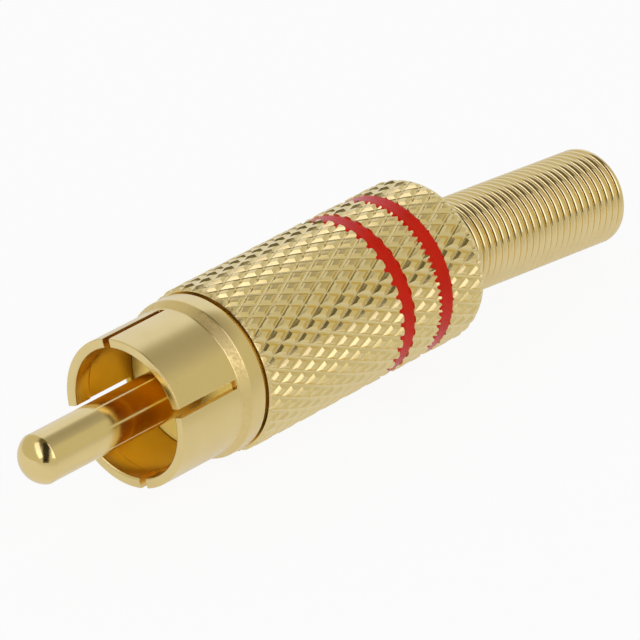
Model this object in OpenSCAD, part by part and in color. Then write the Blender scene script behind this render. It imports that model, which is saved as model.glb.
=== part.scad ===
// Cable plug with a centre pin, a slotted ground collar, a knurled screw barrel and a spring strain relief.
// Its axis lies along X: the pin points to +X, and the collar's mouth is at X = 0.
// Stations along the axis are counted in millimetres from the mouth towards the back.

/* [Centre pin] */
// Radius of the pin that goes into the jack
pin_r = 1.6; // [1.5:0.05:1.7]
// How far the pin's tip stands out of the collar's mouth
pin_reach = 8.5; // [7:0.1:10]
// Height of the domed tip
pin_dome_h = 1.1; // [0.7:0.1:1.4]
// Radius of the neck that the front insulator grips
pin_neck_r = 1.35; // [1.1:0.05:1.4]
// Radius of the flange behind the neck
pin_flange_r = 2.2; // [1.8:0.05:2.4]
// Thickness of the flange
pin_flange_t = 0.8; // [0.5:0.1:1.2]
// Radius of the tail that ends in the solder cup
pin_tail_r = 1.25; // [1.1:0.05:1.3]
// Length of the tail behind the collar's spigot
pin_tail_l = 3.2; // [2.6:0.1:4]
// Radius of the solder cup's bore
cup_bore_r = 0.75; // [0.6:0.05:0.85]
// Depth of the solder cup's bore
cup_depth = 3; // [2.4:0.1:4]
// Length over which the cup's upper half is cut away
cup_cut_l = 1.6; // [0.8:0.1:2]

/* [Ground collar] */
// Outer radius of the slotted collar
collar_r = 4.8; // [4.7:0.05:4.95]
// Length of its straight outside
collar_l = 5.1; // [4.9:0.1:6]
// Inner radius of the contact lip at the mouth
lip_r = 4.15; // [4:0.05:4.25]
// Length of the contact lip
lip_l = 1.3; // [0.8:0.1:2]
// How much wider the bore is behind the lip
lip_step = 0.16; // [0.1:0.02:0.2]
// Edge break of the mouth, inside and outside
mouth_break = 0.1; // [0.05:0.01:0.15]
// Depth of the front insulator's face below the mouth
collar_depth = 5.2; // [5.1:0.1:5.6]
// Number of saw cuts across the collar, each of which makes two slots
saw_cuts = 2; // [1:1:3]
// How far each further saw cut runs beside the axis
saw_aside = 0.12; // [0:0.01:0.2]
// Width of a slot
slot_w = 0.55; // [0.4:0.05:0.9]
// Length of a slot
slot_l = 5; // [3.5:0.1:5]
// Angle of the first slot from the top
slot_turn = -18.5; // [-45:0.5:45]
// Length of the cone up to the flange
cone_l = 0.7; // [0.4:0.05:1]
// How far the flange lies below the knurl's tops
flange_below = 0.25; // [0.1:0.01:0.35]
// Thickness of the flange
flange_t = 1.1; // [0.9:0.05:1.5]
// Edge break of the flange
flange_break = 0.08; // [0.04:0.01:0.15]
// Width of the register that the barrel's front bears on
register_w = 0.38; // [0.2:0.01:0.5]
// Width of the shadow gap between flange and barrel
register_t = 0.25; // [0.15:0.05:0.5]
// Length of the threaded spigot
spigot_l = 6; // [5.5:0.1:7]
// Wall of the spigot below its thread
spigot_wall = 0.6; // [0.5:0.05:0.65]
// Thickness of the lip swaged over the ground lug
swage_t = 0.45; // [0.3:0.05:0.6]
// How far that lip reaches inwards
swage_w = 0.25; // [0.2:0.05:0.3]
// Edge break at the spigot's end
spigot_break = 0.3; // [0.2:0.05:0.4]

/* [Thread] */
// How much narrower the barrel's threaded bore is than the bore behind it
thread_step = 0.08; // [0.05:0.01:0.12]
// Depth of the thread
thread_depth = 0.4; // [0.35:0.01:0.45]
// Radial room between the two threads
thread_clear = 0.07; // [0.04:0.01:0.1]

/* [Insulators] */
// Thickness of the front insulator's disc
disc_t = 1.2; // [0.9:0.05:1.4]
// Radius of its bush through the collar's web
bush_r = 2.65; // [2.4:0.05:2.8]
// Thickness of the collar's web around the bush
web_t = 1.6; // [1.2:0.1:2]
// Wall of the insulating sleeve in the barrel
sleeve_wall = 0.4; // [0.25:0.05:0.45]
// Radial room around the sleeve
sleeve_clear = 0.1; // [0.06:0.01:0.15]
// Room in front of the sleeve and behind it
sleeve_gap = 0.4; // [0.3:0.05:0.6]

/* [Ground lug] */
// Sheet thickness of the lug
lug_t = 0.5; // [0.4:0.05:0.55]
// Radius of the eye in the lug's ring
lug_eye_r = 2.2; // [1.9:0.05:2.3]
// Width of the lug's strip
strip_w = 2.6; // [2:0.1:3]
// Length of the strip behind the spigot, clamp included
strip_l = 8; // [7.5:0.1:8.5]
// Radius of the solder hole in the strip
lug_hole_r = 0.6; // [0.4:0.05:0.8]
// Length of the cable clamp
clamp_l = 3; // [2:0.1:3.5]
// Height of the clamp's ears above the axis
clamp_h = 1.4; // [0.8:0.1:2]

/* [Barrel] */
// Outer radius of the barrel over the knurl's tops
barrel_r = 5.38; // [5.34:0.02:5.8]
// Length of the barrel
barrel_l = 19.85; // [19.6:0.05:22]
// Wall of the barrel below the knurl
barrel_wall = 0.79; // [0.75:0.01:1]
// Thickness of the barrel's rear wall
rear_wall = 1.7; // [1.2:0.1:2]
// Edge break at both ends of the barrel
barrel_break = 0.2; // [0.1:0.02:0.24]
// Diamonds around the barrel
knurl_count = 36; // [28:1:44]
// Half diamonds along the barrel
knurl_rows = 19; // [15:1:23]
// Depth of the knurl
knurl_depth = 0.24; // [0.16:0.01:0.28]
// Share of a diamond that is left flat on top
knurl_flat = 0.33; // [0.2:0.01:0.6]
// Angle of the first diamond from the top
knurl_turn = 2.8; // [0:0.1:5]

/* [Colour bands] */
// Width of a colour band
band_w = 1.07; // [0.8:0.01:1.4]
// Distance from the barrel's back to the middle of the rear band
band_back = 3.55; // [3:0.05:4]
// Distance between the bands, middle to middle
band_step = 3.6; // [2.5:0.05:5]
// How far a band lies below the knurl's tops
band_below = 0.1; // [0.06:0.01:0.12]
// How far a groove goes below the knurl's valleys
groove_below = 0.05; // [0.03:0.01:0.08]

/* [Strain relief spring] */
// How much narrower the spring is than its flared turns, radially
flare_step = 0.675; // [0.6:0.025:0.8]
// Radius of the spring's wire
wire_r = 0.29; // [0.26:0.01:0.29]
// Distance from turn to turn
spring_pitch = 0.611; // [0.6:0.001:0.64]
// Length of spring that shows behind the barrel, along its own axis
spring_show = 16.8; // [12:0.05:20]
// Angle by which the spring hangs down in the barrel's rear hole
spring_droop = 5.9; // [4:0.1:7]
// Room around the spring in the rear hole
spring_clear = 0.12; // [0.1:0.01:0.2]
// Radial room around the flared turns inside the barrel
flare_clear = 0.5; // [0.4:0.05:0.6]
// Number of flared turns
flare_turns = 1.6; // [1.2:0.1:2]

/* [Hidden] */

$fn = 96;

// Room between pieces that are pressed or moulded together
fit_clear = 0.03;
// How far a cutting shape runs past the face that it cuts
over = 0.5;

// Radii of the barrel, from the knurl's tops inwards
valley_r = barrel_r - knurl_depth;
groove_r = valley_r - groove_below;
barrel_bore_r = valley_r - barrel_wall;
thread_bore_r = barrel_bore_r - thread_step;
thread_r = thread_bore_r - thread_clear;

// Stations of the collar, from the mouth to the back
cone_end = collar_l + cone_l;
flange_end = cone_end + flange_t;
barrel_front = flange_end + register_t;
spigot_end = barrel_front + spigot_l;
web_front = collar_depth + disc_t;
web_back = web_front + web_t;

// Radii of the collar
collar_bore_r = lip_r + lip_step;
flange_r = barrel_r - flange_below;
register_r = thread_bore_r + register_w;
spigot_r = thread_r - thread_depth;
spigot_bore_r = spigot_r - spigot_wall;
swage_r = spigot_bore_r - swage_w;

// The lug's ring lies between the rear insulator and the swaged lip
lug_front = spigot_end - swage_t - lug_t;
strip_out = swage_r - fit_clear;
strip_in = strip_out - lug_t;
strip_end = spigot_end + strip_l;
clamp_front = strip_end - clamp_l;

// Stations of the barrel
barrel_back = barrel_front + barrel_l;
wall_front = barrel_back - rear_wall;
thread_end = spigot_end + sleeve_gap / 2;
rear_band_mid = barrel_back - band_back;
front_band_mid = rear_band_mid - band_step;

// The spring swings about the middle of the rear wall: z is counted from there along the spring's own axis
spring_pivot = barrel_back - rear_wall / 2;
flare_r = barrel_bore_r - flare_clear;
spring_r = flare_r - flare_step;
rear_hole_r = spring_r / cos(spring_droop) + rear_wall / 2 * tan(spring_droop) + spring_clear;
coil_r = spring_r - wire_r;
flare_coil_r = flare_r - wire_r;
blend_turns = 0.8;
blend_back = -rear_wall / 2 - wire_r - flare_r * tan(spring_droop) - spring_clear;
flare_front = blend_back - (flare_turns + blend_turns) * spring_pitch;
coil_back = rear_wall / 2 + spring_show - wire_r;
coil_turns = (coil_back - flare_front) / spring_pitch;
coil_steps = 16;
wire_sides = 6;

// The sleeve fills the bore between the spigot and the flared turns
sleeve_front = spigot_end + sleeve_gap;
sleeve_back = spring_pivot + flare_front - wire_r - flare_r * tan(spring_droop) - sleeve_gap;
sleeve_r = barrel_bore_r - sleeve_clear;

gold = [0.83, 0.69, 0.40];
cream = [0.90, 0.86, 0.74];
clear_grey = [0.80, 0.82, 0.82];
red = [0.75, 0.10, 0.07];

// Lays a shape down: what stood along +Z points to the back, and its +X points up
module lay_down() {
    rotate([0, -90, 0]) children();
}

// A turned shape, from an outline of [station, radius] points
module turned(outline) {
    rotate_extrude() polygon([for (p = outline) [p[1], p[0]]]);
}

// A tube between two stations
module tube(front, back, inner, outer) {
    turned([[front, inner], [back, inner], [back, outer], [front, outer]]);
}

// The domed tip: the part of a sphere that stands in front of the pin's shank
module pin_dome() {
    dome_r = (pin_r * pin_r + pin_dome_h * pin_dome_h) / (2 * pin_dome_h);
    intersection() {
        translate([0, 0, dome_r - pin_reach]) sphere(r = dome_r);
        translate([0, 0, -pin_reach - over]) cylinder(r = pin_r, h = pin_dome_h + over);
    }
}

module centre_pin() {
    shank_front = pin_dome_h - pin_reach;
    flange_back = web_back + pin_flange_t;
    tail_back = spigot_end + pin_tail_l;
    color(gold) lay_down() difference() {
        union() {
            pin_dome();
            turned([
                [shank_front, 0], [shank_front, pin_r], [collar_depth, pin_r],
                [collar_depth, pin_neck_r], [web_back, pin_neck_r],
                [web_back, pin_flange_r], [flange_back, pin_flange_r],
                [flange_back, pin_tail_r], [tail_back, pin_tail_r], [tail_back, 0],
            ]);
        }
        translate([0, 0, tail_back - cup_depth]) cylinder(r = cup_bore_r, h = cup_depth + over);
        translate([0, -pin_tail_r - over, tail_back - cup_cut_l])
            cube([pin_tail_r + over, 2 * (pin_tail_r + over), cup_cut_l + over]);
    }
}

module front_insulator() {
    hole_r = pin_neck_r + fit_clear;
    disc_r = collar_bore_r - fit_clear;
    color(cream) lay_down() turned([
        [collar_depth, hole_r], [web_back, hole_r], [web_back, bush_r],
        [web_front, bush_r], [web_front, disc_r], [collar_depth, disc_r],
    ]);
}

// One saw cut across the collar, from the mouth backwards, with a square end
module saw_cut(aside) {
    reach = collar_r + over;
    translate([-reach, -aside - slot_w / 2, -over]) cube([2 * reach, slot_w, slot_l + over]);
}

module ground_collar() {
    hole_r = bush_r + fit_clear;
    color(gold) lay_down() difference() {
        turned([
            [0, lip_r + mouth_break], [0, collar_r - mouth_break],
            [mouth_break, collar_r], [collar_l, collar_r],
            [cone_end, flange_r - flange_break], [cone_end + flange_break, flange_r],
            [flange_end - flange_break, flange_r], [flange_end, flange_r - flange_break],
            [flange_end, register_r], [barrel_front, register_r],
            [barrel_front, spigot_r], [spigot_end - spigot_break, spigot_r],
            [spigot_end, spigot_r - spigot_break], [spigot_end, swage_r],
            [spigot_end - swage_t, swage_r], [spigot_end - swage_t, spigot_bore_r],
            [web_back, spigot_bore_r], [web_back, hole_r], [web_front, hole_r],
            [web_front, collar_bore_r], [lip_l + lip_step, collar_bore_r],
            [lip_l, lip_r], [mouth_break, lip_r],
        ]);
        for (i = [0:saw_cuts - 1]) rotate(slot_turn + i * 180 / saw_cuts) saw_cut(i * saw_aside);
    }
}

module rear_insulator() {
    hole_r = pin_tail_r + fit_clear;
    seat_r = pin_flange_r + fit_clear;
    seat_back = web_back + pin_flange_t;
    outer_r = spigot_bore_r - fit_clear;
    color(cream) lay_down() turned([
        [web_back, seat_r], [seat_back, seat_r], [seat_back, hole_r], [lug_front, hole_r],
        [lug_front, outer_r], [web_back, outer_r],
    ]);
}

// The clamp's section: a half round trough with two straight ears, open at the top
module clamp_section() {
    difference() {
        union() {
            circle(r = strip_out);
            translate([0, -strip_out]) square([clamp_h, 2 * strip_out]);
        }
        circle(r = strip_in);
        translate([0, -strip_in]) square([strip_out + over, 2 * strip_in]);
        translate([clamp_h, -strip_out - over]) square([strip_out, 2 * (strip_out + over)]);
    }
}

module ground_lug() {
    hole_at = (spigot_end + clamp_front) / 2;
    color(gold) lay_down() union() {
        tube(lug_front, lug_front + lug_t, lug_eye_r, spigot_bore_r - fit_clear);
        difference() {
            intersection() {
                tube(lug_front, strip_end, strip_in, strip_out);
                translate([-strip_out - over, -strip_w / 2, lug_front])
                    cube([strip_out + over, strip_w, strip_end - lug_front]);
            }
            translate([0, 0, hole_at]) rotate([0, -90, 0]) cylinder(r = lug_hole_r, h = strip_out + over);
        }
        translate([0, 0, clamp_front]) linear_extrude(height = clamp_l) clamp_section();
    }
}

module insulating_sleeve() {
    color(clear_grey) lay_down() tube(sleeve_front, sleeve_back, sleeve_r - sleeve_wall, sleeve_r);
}

// A rod covered with a diamond knurl. Diamonds and crossings of two valleys take turns on a grid around
// and along the rod. A diamond has four corners on its flat top, and a crossing is one point.
// A plain round row at both ends makes the edge break.
module knurled_rod() {
    columns = 2 * knurl_count;
    tops = (knurl_rows + 1) * knurl_count;
    rim_r = barrel_r - barrel_break;
    row_step = (barrel_l - 2 * barrel_break) / knurl_rows;
    function row_at(row) = barrel_front + barrel_break + row * row_step;
    function on_rod(r, column, station) =
        let (a = knurl_turn + column * 360 / columns)
        [r * cos(a), r * sin(a), station];
    points = [
        for (i = [0:knurl_rows], j = [i % 2:2:columns - 1]) each [
            on_rod(barrel_r, j, row_at(max(0, i - knurl_flat))),
            on_rod(barrel_r, j + knurl_flat, row_at(i)),
            on_rod(barrel_r, j, row_at(min(knurl_rows, i + knurl_flat))),
            on_rod(barrel_r, j - knurl_flat, row_at(i)),
        ],
        for (i = [0:knurl_rows], j = [1 - i % 2:2:columns - 1]) on_rod(valley_r, j, row_at(i)),
        for (j = [0:columns - 1]) on_rod(rim_r, j, barrel_front),
        for (j = [0:columns - 1]) on_rod(rim_r, j, barrel_back),
    ];

    // Numbers of the points: a diamond's corners are 0 in front, 1 to the right, 2 behind and 3 to the left
    function wrap(j) = (j + columns) % columns;
    function top(i, j, corner) = 4 * (i * knurl_count + floor(wrap(j) / 2)) + corner;
    function valley(i, j) = 4 * tops + i * knurl_count + floor(wrap(j) / 2);
    function front_rim(j) = 5 * tops + wrap(j);
    function back_rim(j) = 5 * tops + columns + wrap(j);

    flats = [
        for (i = [0:knurl_rows], j = [i % 2:2:columns - 1]) each [
            [top(i, j, 0), top(i, j, 3), top(i, j, 2)],
            [top(i, j, 0), top(i, j, 2), top(i, j, 1)],
        ],
    ];
    slopes = [
        for (i = [0:knurl_rows - 1], j = [0:columns - 1]) each (i + j) % 2 == 0
            ? [
                [top(i, j, 2), valley(i + 1, j), valley(i, j + 1)],
                [top(i, j, 2), valley(i, j + 1), top(i, j, 1)],
                [valley(i, j + 1), valley(i + 1, j), top(i + 1, j + 1, 3)],
                [valley(i, j + 1), top(i + 1, j + 1, 3), top(i + 1, j + 1, 0)],
            ]
            : [
                [valley(i, j), valley(i + 1, j + 1), top(i, j + 1, 2)],
                [valley(i, j), top(i, j + 1, 2), top(i, j + 1, 3)],
                [valley(i, j), top(i + 1, j, 0), top(i + 1, j, 1)],
                [valley(i, j), top(i + 1, j, 1), valley(i + 1, j + 1)],
            ],
    ];
    front_break = [
        for (j = [0:2:columns - 1]) each [
            [front_rim(j), top(0, j, 0), top(0, j, 1)],
            [front_rim(j), top(0, j, 1), front_rim(j + 1)],
            [front_rim(j + 1), top(0, j, 1), valley(0, j + 1)],
            [front_rim(j), top(0, j, 3), top(0, j, 0)],
            [front_rim(j), front_rim(j - 1), top(0, j, 3)],
            [front_rim(j - 1), valley(0, j - 1), top(0, j, 3)],
        ],
    ];
    back_break = let (i = knurl_rows) [
        for (j = [i % 2:2:columns - 1]) each [
            [back_rim(j), top(i, j, 1), top(i, j, 2)],
            [back_rim(j), back_rim(j + 1), top(i, j, 1)],
            [back_rim(j + 1), valley(i, j + 1), top(i, j, 1)],
            [back_rim(j), top(i, j, 2), top(i, j, 3)],
            [back_rim(j), top(i, j, 3), back_rim(j - 1)],
            [back_rim(j - 1), top(i, j, 3), valley(i, j - 1)],
        ],
    ];
    front_cap = [for (j = [0:columns - 1]) front_rim(j)];
    back_cap = [for (j = [0:columns - 1]) back_rim(columns - 1 - j)];
    polyhedron(points, concat(flats, slopes, front_break, back_break, [front_cap, back_cap]));
}

// A turned ring of everything outside a radius, wide enough to cut a groove
module groove(middle) {
    tube(middle - band_w / 2, middle + band_w / 2, groove_r, barrel_r + over);
}

module barrel() {
    color(gold) lay_down() difference() {
        knurled_rod();
        turned([
            [barrel_front - over, 0], [barrel_front - over, thread_bore_r], [thread_end, thread_bore_r],
            [thread_end, barrel_bore_r], [wall_front, barrel_bore_r], [wall_front, rear_hole_r],
            [barrel_back - barrel_break, rear_hole_r], [barrel_back + over, rear_hole_r + barrel_break + over],
            [barrel_back + over, 0],
        ]);
        groove(front_band_mid);
        groove(rear_band_mid);
    }
}

// A ring of enamel on the floor of a groove, a little above the knurl's valleys
module colour_band(middle) {
    color(red) lay_down()
        tube(middle - band_w / 2, middle + band_w / 2, groove_r, barrel_r - band_below);
}

module front_band() {
    colour_band(front_band_mid);
}

module rear_band() {
    colour_band(rear_band_mid);
}

// Radius of the coil after a number of turns: wide at first, then an even blend to the plain coil
function coil_radius(turn) =
    let (
        u = min(1, max(0, (turn - flare_turns) / blend_turns)),
        blend = u * u * (3 - 2 * u)
    )
    flare_coil_r + (coil_r - flare_coil_r) * blend;

// Round wire carried along the coil as one closed skin
module coil() {
    rings = ceil(coil_turns * coil_steps);
    points = [
        for (i = [0:rings], j = [0:wire_sides - 1])
            let (
                turn = coil_turns * i / rings,
                a = 360 * turn,
                b = 360 * j / wire_sides,
                r = coil_radius(turn) + wire_r * cos(b)
            )
            [r * cos(a), r * sin(a), flare_front + turn * spring_pitch + wire_r * sin(b)]
    ];
    skin = [
        for (i = [0:rings - 1], j = [0:wire_sides - 1])
            let (
                a = i * wire_sides + j,
                b = i * wire_sides + (j + 1) % wire_sides,
                c = b + wire_sides,
                d = a + wire_sides
            )
            each [[a, b, c], [a, c, d]]
    ];
    start_cap = [for (j = [0:wire_sides - 1]) wire_sides - 1 - j];
    end_cap = [for (j = [0:wire_sides - 1]) rings * wire_sides + j];
    polyhedron(points, concat(skin, [start_cap, end_cap]));
}

module strain_relief_spring() {
    color(gold) lay_down() translate([0, 0, spring_pivot]) rotate([0, -spring_droop, 0]) coil();
}

centre_pin();
front_insulator();
ground_collar();
rear_insulator();
ground_lug();
insulating_sleeve();
barrel();
front_band();
rear_band();
strain_relief_spring();
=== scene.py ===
"""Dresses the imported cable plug.

Turned and knurled gold-plated pieces, enamel bands, a wire spring and a small studio.
"""

import math

import bmesh
import bpy
import numpy as np
from mathutils import Matrix, Vector


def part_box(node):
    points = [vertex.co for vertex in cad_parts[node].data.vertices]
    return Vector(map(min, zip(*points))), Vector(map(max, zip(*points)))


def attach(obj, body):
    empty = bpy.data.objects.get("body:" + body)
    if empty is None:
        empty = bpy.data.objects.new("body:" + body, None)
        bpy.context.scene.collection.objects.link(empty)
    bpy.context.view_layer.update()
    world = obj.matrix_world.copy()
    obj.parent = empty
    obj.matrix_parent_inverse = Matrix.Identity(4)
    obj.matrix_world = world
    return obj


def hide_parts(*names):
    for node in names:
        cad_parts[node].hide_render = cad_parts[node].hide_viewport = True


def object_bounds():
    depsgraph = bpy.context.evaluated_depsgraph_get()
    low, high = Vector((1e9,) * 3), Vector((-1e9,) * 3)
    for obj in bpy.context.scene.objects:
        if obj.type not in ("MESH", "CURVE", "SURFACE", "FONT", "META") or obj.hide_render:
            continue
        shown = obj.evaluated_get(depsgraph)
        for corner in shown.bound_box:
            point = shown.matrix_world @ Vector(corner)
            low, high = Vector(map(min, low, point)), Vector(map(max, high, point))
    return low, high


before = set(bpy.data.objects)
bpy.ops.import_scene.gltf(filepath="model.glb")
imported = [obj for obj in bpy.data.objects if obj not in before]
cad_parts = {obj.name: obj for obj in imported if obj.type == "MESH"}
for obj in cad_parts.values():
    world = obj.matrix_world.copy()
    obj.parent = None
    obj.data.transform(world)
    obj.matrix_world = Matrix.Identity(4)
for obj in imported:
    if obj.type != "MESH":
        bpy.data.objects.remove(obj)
CAD_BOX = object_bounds()

bl_info = {
    "name": "Cable plug with knurled barrel",
    "version": (1, 0, 0),
    "blender": (4, 5, 0),
    "location": "View3D > Sidebar > Plug",
    "description": "Builds the finished surfaces of a phono cable plug around its packed solids",
    "category": "Object",
}

MM = 0.001
DEGREE = math.pi / 180.0
FULL_TURN = 2.0 * math.pi

# Stations count from the collar's mouth towards the back, so a station is minus the world's X
PIN_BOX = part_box("centre_pin")
COLLAR_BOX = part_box("ground_collar")
FRONT_INSULATOR_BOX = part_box("front_insulator")
REAR_INSULATOR_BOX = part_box("rear_insulator")
SLEEVE_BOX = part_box("insulating_sleeve")
BARREL_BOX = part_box("barrel")
BAND_BOXES = {name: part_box(name) for name in ("front_band", "rear_band")}

# A thread's ridge is a trapezium: the width of its foot and of its crest, as shares of the pitch
RIDGE_FOOT = 0.58
RIDGE_CREST = 0.14

# Azimuth, elevation, roll, width and height of each softbox in degrees, and their colour
RIGHT_SOFTBOX = (90.0, 45.0, -21.0, 23.0, 66.0)
LEFT_SOFTBOX = (0.0, 43.0, 45.0, 18.0, 64.0)
FRONT_FILL = (-6.0, 6.0, 0.0, 10.0, 10.0)
SOFTBOX_DISTANCE = 0.7
SOFTBOX_COLOUR = (1.0, 0.99, 1.24)

# Azimuth and elevation in degrees, distance and half sizes in metres of the dark flag beside the camera
FLAG_FROM = (43.0, 38.0, 0.9)
FLAG_HALF = (0.22, 0.8)
FLOOR_HALF = 3.0

CAMERA_EYE = (0.24314, 0.23093, 0.18354)
CAMERA_LOOK = (-0.66177, -0.58617, -0.46741)
CAMERA_LENS = 360.2

WHITE = (1.0, 1.0, 1.0, 1.0)


def length_setting(name, description, size, least=0.01):
    """Property for a length, given in millimetres."""
    return bpy.props.FloatProperty(
        name=name, description=description, default=size * MM, min=least * MM, unit="LENGTH", precision=5
    )


def angle_setting(name, description, degrees):
    """Property for an angle, given in degrees."""
    return bpy.props.FloatProperty(
        name=name, description=description, default=degrees * DEGREE, subtype="ANGLE"
    )


def count_setting(name, description, number, least, most):
    """Property for a number of like things."""
    return bpy.props.IntProperty(name=name, description=description, default=number, min=least, max=most)


def share_setting(name, description, share, least=0.0):
    """Property for a share of something else."""
    return bpy.props.FloatProperty(
        name=name, description=description, default=share, min=least, max=1.0, subtype="FACTOR"
    )


def level_setting(name, description, level):
    """Property for a brightness or another plain number."""
    return bpy.props.FloatProperty(name=name, description=description, default=level, min=0.0)


def colour_setting(name, description, colour):
    """Property for a colour."""
    return bpy.props.FloatVectorProperty(
        name=name, description=description, default=colour, size=3, min=0.0, max=1.0, subtype="COLOR"
    )


class PlugSizes(bpy.types.PropertyGroup):
    """Sizes of the turned pieces that the solids' boxes don't give"""

    pin_r: length_setting("Pin radius", "Radius of the pin that goes into the jack", 1.6)
    dome_h: length_setting("Dome height", "Height of the pin's domed tip", 1.1)
    neck_r: length_setting("Neck radius", "Radius of the neck that the front insulator grips", 1.35)
    pin_flange_t: length_setting("Pin flange", "Thickness of the flange behind the neck", 0.8)
    tail_r: length_setting("Tail radius", "Radius of the pin's tail", 1.25)
    cup_r: length_setting("Cup radius", "Radius of the solder cup's bore", 0.75)
    cup_depth: length_setting("Cup depth", "Depth of the solder cup's bore", 3.0)
    cup_cut: length_setting("Cup opening", "Length over which the cup's upper half is cut away", 1.6)
    collar_r: length_setting("Collar radius", "Outer radius of the slotted collar", 4.8)
    collar_l: length_setting("Collar length", "Length of the collar's straight outside", 5.1)
    lip_r: length_setting("Lip radius", "Inner radius of the contact lip at the mouth", 4.15)
    lip_l: length_setting("Lip length", "Length of the contact lip", 1.3)
    lip_break: length_setting("Mouth break", "Edge break inside the collar's mouth", 0.12)
    lip_step: length_setting("Lip step", "How much wider the bore is behind the lip", 0.16)
    slot_w: length_setting("Slot width", "Width of a slot between two fingers", 0.55)
    slot_l: length_setting("Slot length", "Length of a slot", 5.0)
    saw_cuts: count_setting(
        "Saw cuts", "Number of saw cuts across the collar, each of which makes two slots", 2, 1, 4
    )
    saw_aside: length_setting("Saw offset", "How far each further saw cut runs beside the axis", 0.12, 0.0)
    slot_turn: angle_setting("First slot", "Angle of the first slot from the top", -18.5)
    cone_l: length_setting("Cone length", "Length of the cone up to the flange", 0.7)
    flange_t: length_setting("Flange", "Thickness of the collar's flange", 1.1)
    register_r: length_setting("Register radius", "Radius of the register that the barrel bears on", 4.65)
    spigot_r: length_setting("Spigot radius", "Radius of the spigot at the bottom of its thread", 3.8)
    spigot_wall: length_setting("Spigot wall", "Wall of the spigot below its thread", 0.6)
    swage_t: length_setting("Swaged lip", "Thickness of the lip swaged over the ground lug", 0.45)
    swage_w: length_setting("Swaged reach", "How far the swaged lip reaches inwards", 0.25)
    bush_r: length_setting("Bush radius", "Radius of the front insulator's bush", 2.65)
    disc_t: length_setting("Disc", "Thickness of the front insulator's disc", 1.2)
    sleeve_wall: length_setting("Sleeve wall", "Wall of the insulating sleeve", 0.4)
    fit: length_setting("Fit", "Room between pieces that are pressed or moulded together", 0.03, 0.0)
    edge: length_setting("Edge", "Size of the small rounding on turned edges", 0.07)


class BarrelSizes(bpy.types.PropertyGroup):
    """Sizes of the knurled barrel, its thread, its bands and the spring"""

    knurl_count: count_setting("Diamonds around", "Diamonds around the barrel", 36, 8, 80)
    knurl_rows: count_setting("Half diamonds along", "Half diamonds along the barrel", 19, 4, 60)
    knurl_depth: length_setting("Knurl depth", "Depth of the knurl from its tops to its valleys", 0.19)
    knurl_flat: share_setting("Flat tops", "Share of a diamond that is left flat on top", 0.4)
    knurl_floor: share_setting(
        "Valley floors", "Share of a diamond's outside that lies on the valleys' floor", 0.2
    )
    knurl_ease: share_setting(
        "Floor slope", "Slope of the valleys' floor, as a share of the slope above it", 0.5
    )
    knurl_blunt: share_setting(
        "Blunt edges", "How blunt the tops' edges are, as a share of a half diamond", 0.05, 0.01
    )
    knurl_turn: angle_setting("First diamond", "Angle of the first diamond from the top", 2.8)
    knurl_slide: share_setting(
        "Knurl shift", "How far the pattern starts before the edge break, in half diamonds", 1.0 / 3.0
    )
    end_break: length_setting("Edge break", "Edge break at both ends of the barrel", 0.2)
    groove_below: length_setting("Groove depth", "How far a groove goes below the knurl's valleys", 0.10)
    bore_r: length_setting("Bore radius", "Radius of the barrel's bore behind the thread", 4.35)
    rear_wall: length_setting("Rear wall", "Thickness of the barrel's rear wall", 1.7)
    thread_pitch: length_setting("Thread pitch", "Distance from turn to turn of the screw thread", 0.75)
    thread_depth: length_setting("Thread depth", "Height of a thread's ridge", 0.4)
    thread_step: length_setting(
        "Thread step", "How much narrower the threaded bore is than the bore behind it", 0.08
    )
    wick_front: length_setting(
        "Enamel in front", "How far the enamel runs into the valleys in front of a band", 0.15, 0.0
    )
    wick_back: length_setting(
        "Enamel behind", "How far the enamel runs into the valleys behind a band", 0.07, 0.0
    )
    spring_r: length_setting("Spring radius", "Outer radius of the spring", 3.175)
    wire_r: length_setting("Wire radius", "Radius of the spring's wire", 0.29)
    spring_pitch: length_setting("Spring pitch", "Distance from turn to turn of the spring", 0.6101)
    spring_show: length_setting("Spring length", "Length of spring that shows behind the barrel", 16.77)
    spring_droop: angle_setting("Spring droop", "Angle by which the spring hangs down", 5.9)
    spring_clear: length_setting("Spring room", "Room around the spring in the rear hole", 0.12, 0.0)
    flare_r: length_setting("Flare radius", "Outer radius of the flared turns inside the barrel", 3.85)
    flare_turns: level_setting("Flared turns", "Number of flared turns", 1.6)
    blend_turns: level_setting("Blend turns", "Turns over which the flare runs into the plain coil", 0.8)


class PlugFinish(bpy.types.PropertyGroup):
    """Colours of the finishes"""

    gold: colour_setting("Gold plate", "Colour of the plated pieces", (0.89, 0.70, 0.305))
    gold_deep: colour_setting("Dull gold", "Colour of the plating where it is dull", (0.83, 0.62, 0.255))
    # Painted light: a paler tone for the knurl's valleys, which stands in for the light between the facets
    painted_valley_gold: colour_setting(
        "Gold in the knurl", "Colour of the plating in the knurl's valleys", (0.90, 0.74, 0.36)
    )
    wire: colour_setting("Spring wire", "Colour of the plated wire", (0.91, 0.73, 0.36))
    enamel: colour_setting("Enamel", "Colour of the bands", (0.64, 0.009, 0.0005))
    insulator: colour_setting("Insulator", "Colour of the moulded insulators", (0.97, 0.77, 0.18))
    # Painted shade: a strong orange for the plating inside the collar, which stands in for the shade and warm
    # light there
    painted_shade_inside: colour_setting(
        "Gold inside", "Colour of the plating inside the collar", (0.88, 0.52, 0.055)
    )
    sleeve: colour_setting("Sleeve", "Colour of the insulating sleeve", (0.74, 0.77, 0.77))


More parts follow.
